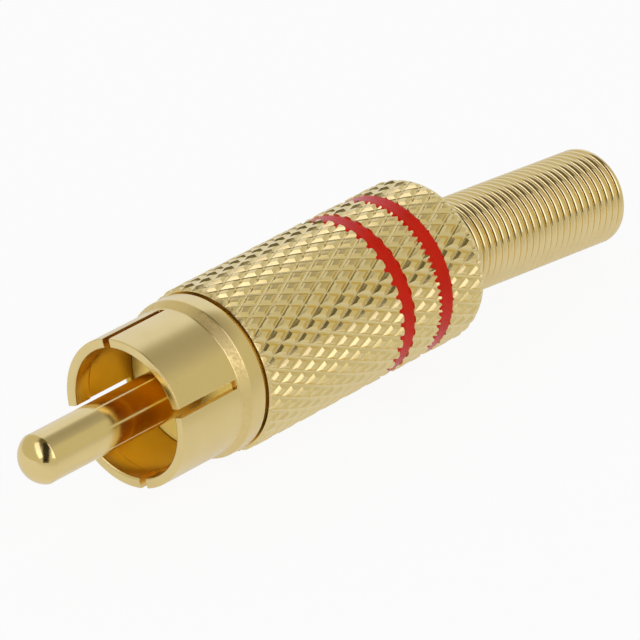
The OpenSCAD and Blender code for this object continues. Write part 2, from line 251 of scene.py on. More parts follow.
class StudioSetup(bpy.types.PropertyGroup):
    """Light and floor of the studio"""

    tent: level_setting("Tent", "Brightness of the tent's right wall", 0.615)
    tent_left: level_setting("Tent left", "Brightness of the tent's left wall", 0.80)
    tent_top: level_setting("Tent top", "Brightness of the tent's open top", 0.43)
    key: level_setting("Right softbox", "Brightness of the large softbox beside the plug", 1.08)
    fill: level_setting("Left softbox", "Brightness of the softbox before the plug", 1.0)
    front: level_setting("Front fill", "Brightness of the small lamp that fills the collar", 38.0)
    floor: colour_setting("Floor", "Colour of the floor", (0.92, 0.92, 0.92))
    floor_direct: share_setting(
        "White to the eye", "Share of plain white in the floor that the camera sees", 0.92
    )
    # Share of the floor that the metal sees as a glowing painted light instead of the lit floor
    floor_mirrored: share_setting(
        "White in metal", "Share of plain white in the floor that shows in metal", 0.55
    )


def placed(station, radius, angle):
    """Points of a turned shape: X is minus the station, and the angle runs from the top towards +Y."""
    station, radius, angle = np.broadcast_arrays(station, radius, angle)
    return np.stack((-station, radius * np.sin(angle), radius * np.cos(angle)), axis=-1)


def ends(box):
    """Front and back station of a solid's box."""
    return -box[1].x, -box[0].x


def soften(outline, size, closed=False, steps=3):
    """Outline of (station, radius) points with small round corners.

    A corner gives way to a parabola that starts and ends at the rounding's size from it, or at 0.4 of the
    shorter side, with the corner as its middle control point.
    """
    corner = np.array(outline, dtype=float)
    before = np.roll(corner, 1, axis=0) - corner
    after = np.roll(corner, -1, axis=0) - corner
    length_before = np.linalg.norm(before, axis=1)
    length_after = np.linalg.norm(after, axis=1)
    reach = np.minimum(size, 0.4 * np.minimum(length_before, length_after))
    if not closed:
        reach[[0, -1]] = 0.0
    start = corner + before * (reach / length_before)[:, None]
    end = corner + after * (reach / length_after)[:, None]
    s = np.linspace(0.0, 1.0, steps + 1)[None, :, None]
    curve = (1 - s) ** 2 * start[:, None] + 2 * s * (1 - s) * corner[:, None] + s ** 2 * end[:, None]
    points = curve.reshape(-1, 2)
    moved = np.linalg.norm(points - np.roll(points, 1, axis=0), axis=1) > 1e-9
    moved[0] = True
    return points[moved]


def grid_faces(rows, columns, close_rows):
    """Four corners of each cell of a grid that closes on itself around, and along the rows if asked."""
    i = np.arange(rows if close_rows else rows - 1)[:, None]
    j = np.arange(columns)[None, :]
    down = (i + 1) % rows
    right = (j + 1) % columns
    corners = (i * columns + j, i * columns + right, down * columns + right, down * columns + j)
    return np.stack(np.broadcast_arrays(*corners), axis=-1)


def skin(name, points, faces, sharp=30.0):
    """Mesh object from points and faces.

    Doubles are merged, faces point outwards, and edges are smooth up to a sharp angle in degrees.
    """
    mesh = bpy.data.meshes.new(name)
    mesh.from_pydata(np.asarray(points).reshape(-1, 3), [], faces)
    work = bmesh.new()
    work.from_mesh(mesh)
    bmesh.ops.remove_doubles(work, verts=work.verts, dist=1e-7)
    bmesh.ops.recalc_face_normals(work, faces=work.faces)
    work.to_mesh(mesh)
    work.free()
    mesh.shade_smooth()
    mesh.set_sharp_from_angle(angle=sharp * DEGREE)
    piece = bpy.data.objects.new(name, mesh)
    bpy.context.scene.collection.objects.link(piece)
    return piece


def true_normals(piece):
    """Lets large faces rule the smooth normals, so that small roundings don't bend a long plain wall."""
    weighted = piece.modifiers.new("true_normals", "WEIGHTED_NORMAL")
    weighted.mode = "FACE_AREA"
    weighted.keep_sharp = True
    return piece


def turned(name, outline, columns=144, closed=True):
    """Lathe surface: an outline of (station, radius) carried round the axis."""
    angle = np.linspace(0.0, FULL_TURN, columns, endpoint=False)
    points = placed(outline[:, :1], outline[:, 1:], angle[None, :])
    faces = grid_faces(len(outline), columns, closed).reshape(-1, 4)
    return true_normals(skin(name, points, faces))


def turned_with_cuts(name, outline, angles, cut_rows, cut_columns, closed):
    """Lathe surface with windows: cells in the cut rows and columns are left out, and flat walls close them.

    The angles may change from row to row, so that a window keeps its width on every radius. Each window gets
    one flat wall at its first and last column, along the outline of the cut rows, and an end wall across it.
    """
    rows, columns = angles.shape
    points = placed(outline[:, :1], outline[:, 1:], angles)
    cells = grid_faces(rows, columns, closed)
    keep = np.ones(cells.shape[:2], dtype=bool)
    first, last = cut_rows
    keep[first:last][:, cut_columns] = False
    ends = grid_faces(2, columns, False)[0][cut_columns]
    ends = np.where(ends < columns, first * columns + ends, (last - 1) * columns + ends)
    opening = cut_columns & ~np.roll(cut_columns, 1)
    closing = ~cut_columns & np.roll(cut_columns, 1)
    edge_columns = np.flatnonzero(opening | closing)
    walls = edge_columns[:, None] + columns * np.arange(first, last + 1)[None, :]
    faces = cells[keep].tolist() + ends.tolist() + walls.tolist()
    return skin(name, points, faces)


def helical_ridge(name, start, turns, pitch, root_r, crest_r):
    """Screw ridge: a trapezium carried along a helix, whose station grows by the pitch in each turn.

    It rises out of its root over a third of a turn at each end, and its foot lies a little inside the root.
    """
    steps = int(turns * 96)
    turn = np.linspace(0.0, turns, steps + 1)
    ramp = np.clip(np.minimum(turn, turns - turn) / 0.33, 0.0, 1.0)
    ramp = ramp * ramp * (3.0 - 2.0 * ramp)
    foot = root_r - 0.03 * MM * np.sign(crest_r - root_r)
    crest = foot + (crest_r - foot) * ramp
    radius = np.stack((np.full_like(crest, foot), crest, crest, np.full_like(crest, foot)), axis=1)
    half = 0.5 * pitch * np.array([-RIDGE_FOOT, -RIDGE_CREST, RIDGE_CREST, RIDGE_FOOT])
    station = start + turn[:, None] * pitch + half[None, :]
    points = placed(station, radius, FULL_TURN * turn[:, None])
    sides = grid_faces(steps + 1, 4, False).reshape(-1, 4)
    caps = np.array([[0, 1, 2, 3], [4 * steps, 4 * steps + 1, 4 * steps + 2, 4 * steps + 3]])
    return skin(name, points, np.concatenate((sides, caps)))


def dress(piece, material, body, slot, *nodes):
    """Gives a piece its material and body, and lets it stand for CAD nodes. The slot is not used."""
    piece.data.materials.clear()
    piece.data.materials.append(material)
    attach(piece, body)
    if nodes:
        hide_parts(*nodes)
    return piece


class NodeChain:
    """Small helper that adds nodes to a material and links them by socket name."""

    def __init__(self, tree):
        self.tree = tree

    def fill(self, node, inputs):
        """Links each socket to a node's input, and sets each plain value on it."""
        for key, value in inputs.items():
            if isinstance(value, bpy.types.NodeSocket):
                self.tree.links.new(value, node.inputs[key])
            else:
                node.inputs[key].default_value = value
        return node

    def add(self, kind, inputs=None, **settings):
        """New node with its settings and inputs."""
        node = self.tree.nodes.new(kind)
        for key, value in settings.items():
            setattr(node, key, value)
        return self.fill(node, inputs or {})

    def reckon(self, operation, *values):
        """Result of one sum on two or three values."""
        return self.add("ShaderNodeMath", dict(enumerate(values)), operation=operation).outputs["Value"]

    def bump(self, height, strength, distance):
        """Normal of a surface with a height on it."""
        inputs = {"Strength": strength, "Distance": distance, "Height": height}
        return self.add("ShaderNodeBump", inputs).outputs["Normal"]

    def noise(self, coordinate, stretch, detail=2.0):
        """Noise on Object coordinates, stretched by features per metre along X, Y and Z."""
        mapping = self.add("ShaderNodeMapping", {"Vector": coordinate, "Scale": stretch})
        inputs = {"Vector": mapping.outputs["Vector"], "Scale": 1.0, "Detail": detail}
        return self.add("ShaderNodeTexNoise", inputs).outputs["Fac"]

    def even_noise(self, coordinate, features, detail=2.0):
        """Noise with as many features per metre in all directions."""
        return self.noise(coordinate, (features, features, features), detail)

    def span(self, value, low, high, start=0.3, end=0.7):
        """Maps a share between start and end to a value between low and high."""
        inputs = {"Value": value, "From Min": start, "From Max": end, "To Min": low, "To Max": high}
        return self.add("ShaderNodeMapRange", inputs).outputs["Result"]

    def blend(self, share, first, second):
        """Mixes two colours by a share."""
        return self.add("ShaderNodeMix", {0: share, 6: first, 7: second}, data_type="RGBA").outputs[2]


def new_material(name):
    """Material with a Principled shader, the chain that fills it, and the Object coordinate."""
    material = bpy.data.materials.new(name)
    material.use_nodes = True
    chain = NodeChain(material.node_tree)
    shader = material.node_tree.nodes["Principled BSDF"]
    coordinate = chain.add("ShaderNodeTexCoord").outputs["Object"]
    return material, chain, shader, coordinate


def opaque(colour):
    """Colour with full alpha, as shader sockets take it."""
    return (colour[0], colour[1], colour[2], 1.0)


def gold_material(name, colour, dull, roughness, lines, height_attribute=None, inside=None, coarse=None):
    """Gold plate: tool marks round the axis as fine bump, cloudy roughness, random dull patches, and painted
    light in the knurl's valleys.

    The marks are noise that changes fast along X and slowly across it. The second colour makes random dull
    patches. A piece may carry an attribute with the share of its height, and the second colour then fills its
    valleys as painted light, a paler tone that stands in for the light between the facets. A colour for the
    inside is painted shade: it goes where the distance from the X axis is less than the collar's wall and X
    lies within the collar, and grows darker further in.
    Between two values of X the surface may be coarse.
    """
    material, chain, shader, coordinate = new_material(name)
    marks = chain.noise(coordinate, (26000.0, 500.0, 500.0), 3.0)
    cloud = chain.even_noise(coordinate, 420.0, 3.0)
    speck = chain.even_noise(coordinate, 5200.0)
    if inside or coarse:
        place = chain.add("ShaderNodeSeparateXYZ", {"Vector": coordinate}).outputs["X"]
    tone = chain.span(cloud, 0.0, 0.35)
    if height_attribute:
        height = chain.add("ShaderNodeAttribute", attribute_name=height_attribute).outputs["Fac"]
        # Painted light: the valleys take the second colour, paler to stand in for the light between the
        # facets
        painted_valley_share = chain.span(height, 1.0, 0.0, 0.2, 0.9)
        tone = chain.reckon("MAXIMUM", tone, painted_valley_share)
    plate = chain.blend(tone, opaque(colour), opaque(dull))
    # Painted shade: inside the collar the plate turns a strong orange, darker further in, for the shade and
    # warm light there
    if inside:
        across = chain.add("ShaderNodeMapping", {"Vector": coordinate, "Scale": (0.0, 1.0, 1.0)})
        from_axis = chain.add("ShaderNodeVectorMath", {0: across.outputs["Vector"]}, operation="LENGTH")
        within = chain.span(from_axis.outputs["Value"], 1.0, 0.0, 4.6 * MM, 4.76 * MM)
        mouth = chain.span(place, 1.0, 0.0, -0.9 * MM, -0.1 * MM)
        bottom = chain.span(place, 0.0, 1.0, -6.2 * MM, -5.8 * MM)
        share = chain.reckon("MULTIPLY", within, chain.reckon("MULTIPLY", mouth, bottom))
        painted_deeper_shade = tuple(0.72 * c for c in inside)
        painted_shade_depth = chain.span(place, 1.0, 0.0, -4.6 * MM, -1.4 * MM)
        plate = chain.blend(share, plate, chain.blend(painted_shade_depth, opaque(inside), opaque(painted_deeper_shade)))
    cloudy = chain.span(cloud, roughness - 0.035, roughness + 0.045)
    rough = chain.reckon("ADD", cloudy, chain.span(speck, -0.02, 0.03))
    if coarse:
        rise = chain.span(place, 0.0, 1.0, coarse[0], coarse[0] + 0.1 * MM)
        fall = chain.span(place, 1.0, 0.0, coarse[1] - 0.1 * MM, coarse[1])
        share = chain.reckon("MULTIPLY", rise, fall)
        rough = chain.reckon("MULTIPLY_ADD", share, chain.span(speck, 0.19, 0.36), rough)
    normal = chain.bump(marks, lines, 0.004 * MM)
    chain.fill(shader, {"Base Color": plate, "Roughness": rough, "Normal": normal, "Metallic": 1.0})
    return material


def enamel_material(name, colour):
    """Brushed-on enamel: gloss with a faint orange peel, and slightly thinner colour in places."""
    material, chain, shader, coordinate = new_material(name)
    peel = chain.even_noise(coordinate, 2400.0)
    cloud = chain.even_noise(coordinate, 700.0, 3.0)
    thin = tuple(min(1.0, 1.25 * c + 0.004) for c in colour)
    chain.fill(shader, {
        "Base Color": chain.blend(chain.span(cloud, 0.0, 0.6), opaque(colour), opaque(thin)),
        "Roughness": chain.span(cloud, 0.22, 0.32),
        "Normal": chain.bump(peel, 0.35, 0.012 * MM),
        "Specular IOR Level": 0.2,
        "Specular Tint": (1.0, 0.9, 0.5, 1.0),
    })
    return material


def plastic_material(name, colour, roughness, glow):
    """Moulded plastic: faint mottling, a fine matte skin, and a little light that goes through it."""
    material, chain, shader, coordinate = new_material(name)
    cloud = chain.even_noise(coordinate, 600.0, 3.0)
    grain = chain.even_noise(coordinate, 9000.0)
    shade = tuple(0.86 * c for c in colour)
    chain.fill(shader, {
        "Base Color": chain.blend(chain.span(cloud, 0.0, 1.0), opaque(colour), opaque(shade)),
        "Roughness": chain.span(grain, roughness - 0.06, roughness + 0.06),
        "Normal": chain.bump(grain, 0.2, 0.006 * MM),
        "Subsurface Weight": glow,
        "Subsurface Radius": (0.4 * MM, 0.3 * MM, 0.2 * MM),
        "Subsurface Scale": 1.0,
    })
    return material


def plated():
    """The gold plate of the turned pieces, made once and shared."""
    finish = bpy.context.scene.plug_finish
    return bpy.data.materials.get("gold_plate_turned") or gold_material(
        "gold_plate_turned", finish.gold, finish.gold_deep, 0.21, 0.35
    )


def polished():
    """The brighter gold plate of the pin, with painted shade where it lies inside the collar, made once."""
    finish = bpy.context.scene.plug_finish
    return bpy.data.materials.get("gold_plate_polished") or gold_material(
        "gold_plate_polished", finish.gold, finish.gold_deep, 0.12, 0.15, inside=finish.painted_shade_inside
    )


def moulded():
    """The insulators' plastic, made once and shared."""
    finish = bpy.context.scene.plug_finish
    return bpy.data.materials.get("moulded_insulator") or plastic_material(
        "moulded_insulator", finish.insulator, 0.45, 0.15
    )


class PLUG_OT_centre_pin(bpy.types.Operator):
    """Turns the centre pin with its dome, neck, flange and half-open solder cup"""

    bl_idname = "plug.centre_pin"
    bl_label = "Centre pin"

    def execute(self, context):
        size = context.scene.plug_sizes
        tip, tail = ends(PIN_BOX)
        neck_front, neck_back = ends(FRONT_INSULATOR_BOX)
        flange_back = neck_back + size.pin_flange_t
        flange_r = PIN_BOX[1].y
        cut = tail - size.cup_cut
        dome_r = (size.pin_r ** 2 + size.dome_h ** 2) / (2.0 * size.dome_h)
        rise = np.linspace(0.0, math.asin(size.pin_r / dome_r), 24)
        dome = np.stack((tip + dome_r * (1.0 - np.cos(rise)), dome_r * np.sin(rise)), axis=1)
        shank = soften([
            (tip + size.dome_h, size.pin_r), (neck_front, size.pin_r), (neck_front, size.neck_r),
            (neck_back, size.neck_r), (neck_back, flange_r), (flange_back, flange_r),
            (flange_back, size.tail_r), (cut, size.tail_r),
        ], size.edge)
        cup = soften([
            (cut, size.tail_r), (tail, size.tail_r), (tail, size.cup_r), (cut, size.cup_r),
        ], size.edge)
        bottom = np.array([(tail - size.cup_depth, size.cup_r), (tail - size.cup_depth, 0.0)])
        outline = np.concatenate((dome, shank[1:], cup[1:], bottom))
        columns = 96
        angle = np.linspace(0.0, FULL_TURN, columns, endpoint=False)
        first = len(dome) + len(shank) - 2
        upper = np.cos(angle + math.pi / columns) > 0.0
        piece = turned_with_cuts(
            "centre_pin_turned", outline, np.tile(angle, (len(outline), 1)),
            (first, first + len(cup) - 1), upper, False,
        )
        dress(true_normals(piece), polished(), "contact_body", "gold_plate", "centre_pin")
        return {"FINISHED"}


class PLUG_OT_insulators(bpy.types.Operator):
    """Moulds the front bush, the rear washer and the sleeve that lines the barrel"""

    bl_idname = "plug.insulators"
    bl_label = "Insulators"

    def execute(self, context):
        size = context.scene.plug_sizes
        finish = context.scene.plug_finish
        face, back = ends(FRONT_INSULATOR_BOX)
        disc_r = FRONT_INSULATOR_BOX[1].z
        hole_r = size.neck_r + size.fit
        front = turned("front_insulator_moulded", soften([
            (face, hole_r), (face, disc_r), (face + size.disc_t, disc_r), (face + size.disc_t, size.bush_r),
            (back, size.bush_r), (back, hole_r),
        ], size.edge, closed=True))
        dress(front, moulded(), "contact_body", "insulator", "front_insulator")
        washer_front, washer_back = ends(REAR_INSULATOR_BOX)
        washer_r = REAR_INSULATOR_BOX[1].z
        seat_r = PIN_BOX[1].y + size.fit
        seat_back = washer_front + size.pin_flange_t
        tail_hole_r = size.tail_r + size.fit
        rear = turned("rear_insulator_moulded", soften([
            (washer_front, seat_r), (washer_front, washer_r), (washer_back, washer_r),
            (washer_back, tail_hole_r), (seat_back, tail_hole_r), (seat_back, seat_r),
        ], size.edge, closed=True))
        dress(rear, moulded(), "contact_body", "insulator", "rear_insulator")
        sleeve_front, sleeve_back = ends(SLEEVE_BOX)
        sleeve_r = SLEEVE_BOX[1].z
        inner_r = sleeve_r - size.sleeve_wall
        sleeve = turned("insulating_sleeve_tube", soften([
            (sleeve_front, inner_r), (sleeve_front, sleeve_r),
            (sleeve_back, sleeve_r), (sleeve_back, inner_r),
        ], size.edge, closed=True))
        milky = plastic_material("milky_sleeve", finish.sleeve, 0.32, 0.5)
        dress(sleeve, milky, "spring_carrier", "sleeve", "insulating_sleeve")
        return {"FINISHED"}


def slotted_angles(radius, size, per_slot=2, per_finger=36):
    """Angles of a slotted collar's columns on each radius, and which columns lie in a slot.

    A saw cut goes straight across, so a slot's edges lie at the arcsine of their distance from the axis over
    the radius. Each cut makes one slot and, half a turn on, another on the far side, where its offset counts
    the other way. The columns are spread evenly over a slot and then over the finger up to the next slot.
    """
    slot = np.arange(2 * size.saw_cuts)
    far = np.where(slot < size.saw_cuts, -1.0, 1.0)
    shift = far * (slot % size.saw_cuts) * size.saw_aside
    start = np.arcsin((shift - 0.5 * size.slot_w) / radius[:, None])
    end = np.arcsin((shift + 0.5 * size.slot_w) / radius[:, None])
    sector = math.pi / size.saw_cuts
    following = np.roll(start, -1, axis=1) + sector
    across_slot = np.arange(per_slot) / per_slot
    along_finger = np.arange(per_finger) / per_finger
    slot_part = start[..., None] + (end - start)[..., None] * across_slot
    finger_part = end[..., None] + (following - end)[..., None] * along_finger
    angles = np.concatenate((slot_part, finger_part), axis=2) + size.slot_turn + slot[:, None] * sector
    in_slot = np.tile(np.arange(per_slot + per_finger) < per_slot, len(slot))
    return angles.reshape(len(radius), -1), in_slot


class PLUG_OT_ground_collar(bpy.types.Operator):
    """Turns the slotted collar with its flange and spigot, and cuts the spigot's thread"""

    bl_idname = "plug.ground_collar"
    bl_label = "Ground collar"

    def execute(self, context):
        size = context.scene.plug_sizes
        barrel = context.scene.barrel_sizes
        mouth, spigot_end = ends(COLLAR_BOX)
        flange_r = COLLAR_BOX[1].z
        barrel_front = ends(BARREL_BOX)[0]
        bore_r = size.lip_r + size.lip_step
        slot_end = mouth + size.slot_l
        straight_end = mouth + size.collar_l
        cone_end = straight_end + size.cone_l
        flange_end = cone_end + size.flange_t
        insulator_front, web_back = ends(FRONT_INSULATOR_BOX)
        web_front = insulator_front + size.disc_t
        web_r = size.bush_r + size.fit
        spigot_bore_r = size.spigot_r - size.spigot_wall
        swage_r = spigot_bore_r - size.swage_w
        fingers = soften([
            (slot_end, bore_r), (mouth + size.lip_l + size.lip_step, bore_r),
            (mouth + size.lip_l, size.lip_r), (mouth + size.lip_break, size.lip_r),
            (mouth, size.lip_r + size.lip_break), (mouth, size.collar_r), (slot_end, size.collar_r),
        ], 1.4 * size.edge, steps=4)
        body = soften([
            (slot_end, size.collar_r), (straight_end, size.collar_r),
            (cone_end, flange_r), (flange_end, flange_r), (flange_end, size.register_r),
            (barrel_front, size.register_r), (barrel_front, size.spigot_r),
            (spigot_end, size.spigot_r), (spigot_end, swage_r), (spigot_end - size.swage_t, swage_r),
            (spigot_end - size.swage_t, spigot_bore_r), (web_back, spigot_bore_r), (web_back, web_r),
            (web_front, web_r), (web_front, bore_r), (slot_end, bore_r),
        ], size.edge)
        outline = np.concatenate((fingers, body[1:-1]))
        angles, in_slot = slotted_angles(outline[:, 1], size)
        collar = turned_with_cuts(
            "ground_collar_turned", outline, angles, (0, len(fingers) - 1), in_slot, True,
        )
        bevel = collar.modifiers.new("slot_edges", "BEVEL")
        bevel.width = 0.4 * size.edge
        bevel.segments = 2
        bevel.limit_method = "ANGLE"
        bevel.angle_limit = 60.0 * DEGREE
        finish = context.scene.plug_finish
        # The collar's bore gets the painted shade colour, darker further in
        plate = gold_material(
            "gold_plate_collar", finish.gold, finish.gold_deep, 0.21, 0.35, inside=finish.painted_shade_inside,
            coarse=(-cone_end, -straight_end),
        )
        dress(true_normals(collar), plate, "contact_body", "gold_plate", "ground_collar")
        thread_front = barrel_front + 0.5 * barrel.thread_pitch
        turns_cut = (spigot_end - 0.5 * barrel.thread_pitch - thread_front) / barrel.thread_pitch
        thread = helical_ridge(
            "spigot_thread", thread_front, turns_cut, barrel.thread_pitch,
            size.spigot_r, size.spigot_r + barrel.thread_depth,
        )
        dress(thread, plated(), "contact_body", "gold_plate")
        return {"FINISHED"}


class PLUG_OT_ground_lug(bpy.types.Operator):
    """Gives the stamped ground lug its plating"""

    bl_idname = "plug.ground_lug"
    bl_label = "Ground lug"

    def execute(self, context):
        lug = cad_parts["ground_lug"]
        lug.data.materials.clear()
        lug.data.materials.append(plated())
        return {"FINISHED"}


def knurl_height(around, along, flat, floor, ease, blunt):
    """Share of the knurl's depth at a place counted in half diamonds: 1 on a flat top, 0 in a valley.

    Diamonds have their middles where both counts are whole and add up to an even number, and valleys run
    along both diagonals between them. The larger of the two distances from the diagonals through a middle is
    0 there and 1 in a valley. Up to the flat share the height is 1, and from there it falls evenly to the
    valley's floor, which falls by a smaller slope to 0 in its middle. A parabola of the blunt width rounds
    the top's edge.
    """
    plus = np.abs((around + along + 1.0) % 2.0 - 1.0)
    minus = np.abs((around - along + 1.0) % 2.0 - 1.0)
    beyond = np.maximum(plus, minus) - flat
    rounded = np.clip(beyond + blunt, 0.0, 2.0 * blunt) ** 2 / (4.0 * blunt)
    fall = np.where(beyond > blunt, beyond, rounded)
    slope = 1.0 - floor - flat
    fall = np.minimum(fall, slope) + ease * np.maximum(fall - slope, 0.0)
    return 1.0 - fall / (slope + ease * floor)


def spring_pivot(barrel):
    """Station about which the spring hangs down: the middle of the barrel's rear wall."""
    return ends(BARREL_BOX)[1] - 0.5 * barrel.rear_wall


def rear_hole_r(barrel):
    """Radius of the rear hole, which a leaning spring just passes."""
    lean = 0.5 * barrel.rear_wall * math.tan(barrel.spring_droop)
    return barrel.spring_r / math.cos(barrel.spring_droop) + lean + barrel.spring_clear


class PLUG_OT_barrel(bpy.types.Operator):
    """Turns and knurls the barrel with its grooves and bore, and cuts its thread"""

    bl_idname = "plug.barrel"
    bl_label = "Barrel"

    def execute(self, context):
        barrel = context.scene.barrel_sizes
        finish = context.scene.plug_finish
        edge = context.scene.plug_sizes.edge
        front, back = ends(BARREL_BOX)
        top_r = BARREL_BOX[1].z
        valley_r = top_r - barrel.knurl_depth
        groove_r = valley_r - barrel.groove_below
        grooves = sorted(ends(box) for box in BAND_BOXES.values())
        knurl_front = front + barrel.end_break
        row_step = (back - front - 2.0 * barrel.end_break) / barrel.knurl_rows

        # Grid lines are even, so that valleys and the edges of the tops run along the cells' diagonals
        per_half = 5
        around = np.arange(2 * barrel.knurl_count * per_half) / per_half
        knurl_back = back - barrel.end_break
        pattern_front = knurl_front - barrel.knurl_slide * row_step
        rows = np.arange((barrel.knurl_rows + 1) * per_half) / per_half * row_step + pattern_front
        between = (rows > knurl_front + 1e-6) & (rows < knurl_back - 1e-6)
        rows = np.concatenate(([knurl_front], rows[between], [knurl_back]))

        # Each groove has two rows on its floor, between two rows on its edges
        stops = [front] + [station for groove in grooves for station in groove] + [back]
        stretches = []
        for low, high in zip(stops[0::2], stops[1::2]):
            inside = rows[(rows > low + 1e-8) & (rows < high - 1e-8)]
            stretches.append(np.concatenate(([low], inside, [high])))
        stations = stretches[0]
        on_floor = np.zeros(len(stations), dtype=bool)
        for groove, stretch in zip(grooves, stretches[1:]):
            stations = np.concatenate((stations, groove, stretch))
            on_floor = np.concatenate((on_floor, [True, True], np.zeros(len(stretch), dtype=bool)))

        along = (stations - pattern_front) / row_step
        height = knurl_height(
            around[None, :], along[:, None],
            barrel.knurl_flat, barrel.knurl_floor, barrel.knurl_ease, barrel.knurl_blunt,
        )
        radius = valley_r + barrel.knurl_depth * height
        worn_r = top_r - barrel.end_break + 0.5 * np.minimum(stations - front, back - stations)
        radius = np.minimum(radius, worn_r[:, None])
        # Groove floors and the end rings get fixed shares of height, which set how much painted valley tone
        # they carry
        radius[on_floor] = groove_r
        height[on_floor] = 0.5
        radius[[0, -1]] = top_r - barrel.end_break
        height[[0, -1]] = 0.7

        hole_r = rear_hole_r(barrel)
        wall_front = back - barrel.rear_wall
        thread_end = -0.5 * (COLLAR_BOX[0].x + SLEEVE_BOX[1].x)
        screw_r = barrel.bore_r - barrel.thread_step
        lead_in = 0.2 * MM
        bore = soften([
            (back, hole_r + barrel.end_break), (back - barrel.end_break, hole_r), (wall_front, hole_r),
            (wall_front, barrel.bore_r), (thread_end, barrel.bore_r), (thread_end, screw_r),
            (front + lead_in, screw_r), (front, screw_r + lead_in),
        ], edge)
        columns = len(around)
        stations = np.concatenate((stations, bore[:, 0]))
        radius = np.concatenate((radius, np.repeat(bore[:, 1:], columns, axis=1)))
        # The bore gets a fixed share of height, and with it some of the painted valley tone
        height = np.concatenate((height, np.full((len(bore), columns), 0.7)))
        angle = around * math.pi / barrel.knurl_count + barrel.knurl_turn
        points = placed(stations[:, None], radius, angle[None, :])

        # A cell is split along its diamond's valley, so that facets stay flat
        cells = grid_faces(len(stations), columns, True)
        middle_along = 0.5 * (along[:-1] + along[1:])
        middle_along = np.concatenate((middle_along, np.zeros(len(stations) - len(middle_along))))
        middle_around = 0.5 * (around + np.roll(around, -1))
        even = (np.floor(middle_along)[:, None] + np.floor(middle_around)[None, :]) % 2.0 == 0.0
        one = np.where(even[..., None], cells[..., [0, 1, 3]], cells[..., [0, 1, 2]])
        two = np.where(even[..., None], cells[..., [1, 2, 3]], cells[..., [0, 2, 3]])
        faces = np.concatenate((one.reshape(-1, 3), two.reshape(-1, 3)))
        piece = skin("barrel_knurled", points, faces, 12.0)
        share_of_height = piece.data.attributes.new("knurl_height", "FLOAT", "POINT")
        share_of_height.data.foreach_set("value", height.astype(np.float32).ravel())
        worn = 2.0 * barrel.end_break
        # The knurl's valleys carry a paler painted tone that stands in for the light between the facets
        plate = gold_material(
            "gold_plate_knurled", finish.gold, finish.painted_valley_gold, 0.19, 0.12, "knurl_height",
            coarse=(-front - worn, -front),
        )
        dress(piece, plate, "screw_barrel", "gold_plate", "barrel")

        screw_front = front + 0.5 * barrel.thread_pitch
        turns_cut = math.floor((thread_end - screw_front) / barrel.thread_pitch - 0.5)
        thread = helical_ridge(
            "barrel_thread", screw_front + 0.5 * barrel.thread_pitch, turns_cut, barrel.thread_pitch,
            screw_r, screw_r - barrel.thread_depth,
        )
        dress(thread, plated(), "screw_barrel", "gold_plate")
        return {"FINISHED"}


class PLUG_OT_colour_bands(bpy.types.Operator):
    """Lays the two bands of enamel into the barrel's grooves, with a little run into the knurl's valleys"""

    bl_idname = "plug.colour_bands"
    bl_label = "Colour bands"

    def execute(self, context):
        barrel = context.scene.barrel_sizes
        enamel = enamel_material("red_enamel_brushed", context.scene.plug_finish.enamel)
        valley_r = BARREL_BOX[1].z - barrel.knurl_depth
        floor_r = valley_r - barrel.groove_below
        for node, box in BAND_BOXES.items():
            front, back = ends(box)
            top_r = box[1].z
            hollow_r = top_r - 0.015 * MM
            margin = 0.12 * MM
            outline = soften([
                (front - barrel.wick_front, valley_r), (front - 0.4 * barrel.wick_front, top_r - 0.02 * MM),
                (front + margin, top_r), (0.5 * (front + back), hollow_r), (back - margin, top_r),
                (back + 0.4 * barrel.wick_back, top_r - 0.02 * MM), (back + barrel.wick_back, valley_r),
                (back, floor_r), (front, floor_r),
            ], 0.3 * margin, closed=True)
            piece = turned(node + "_enamel", outline, 288)
            dress(piece, enamel, "screw_barrel", "red_enamel", node)
        return {"FINISHED"}


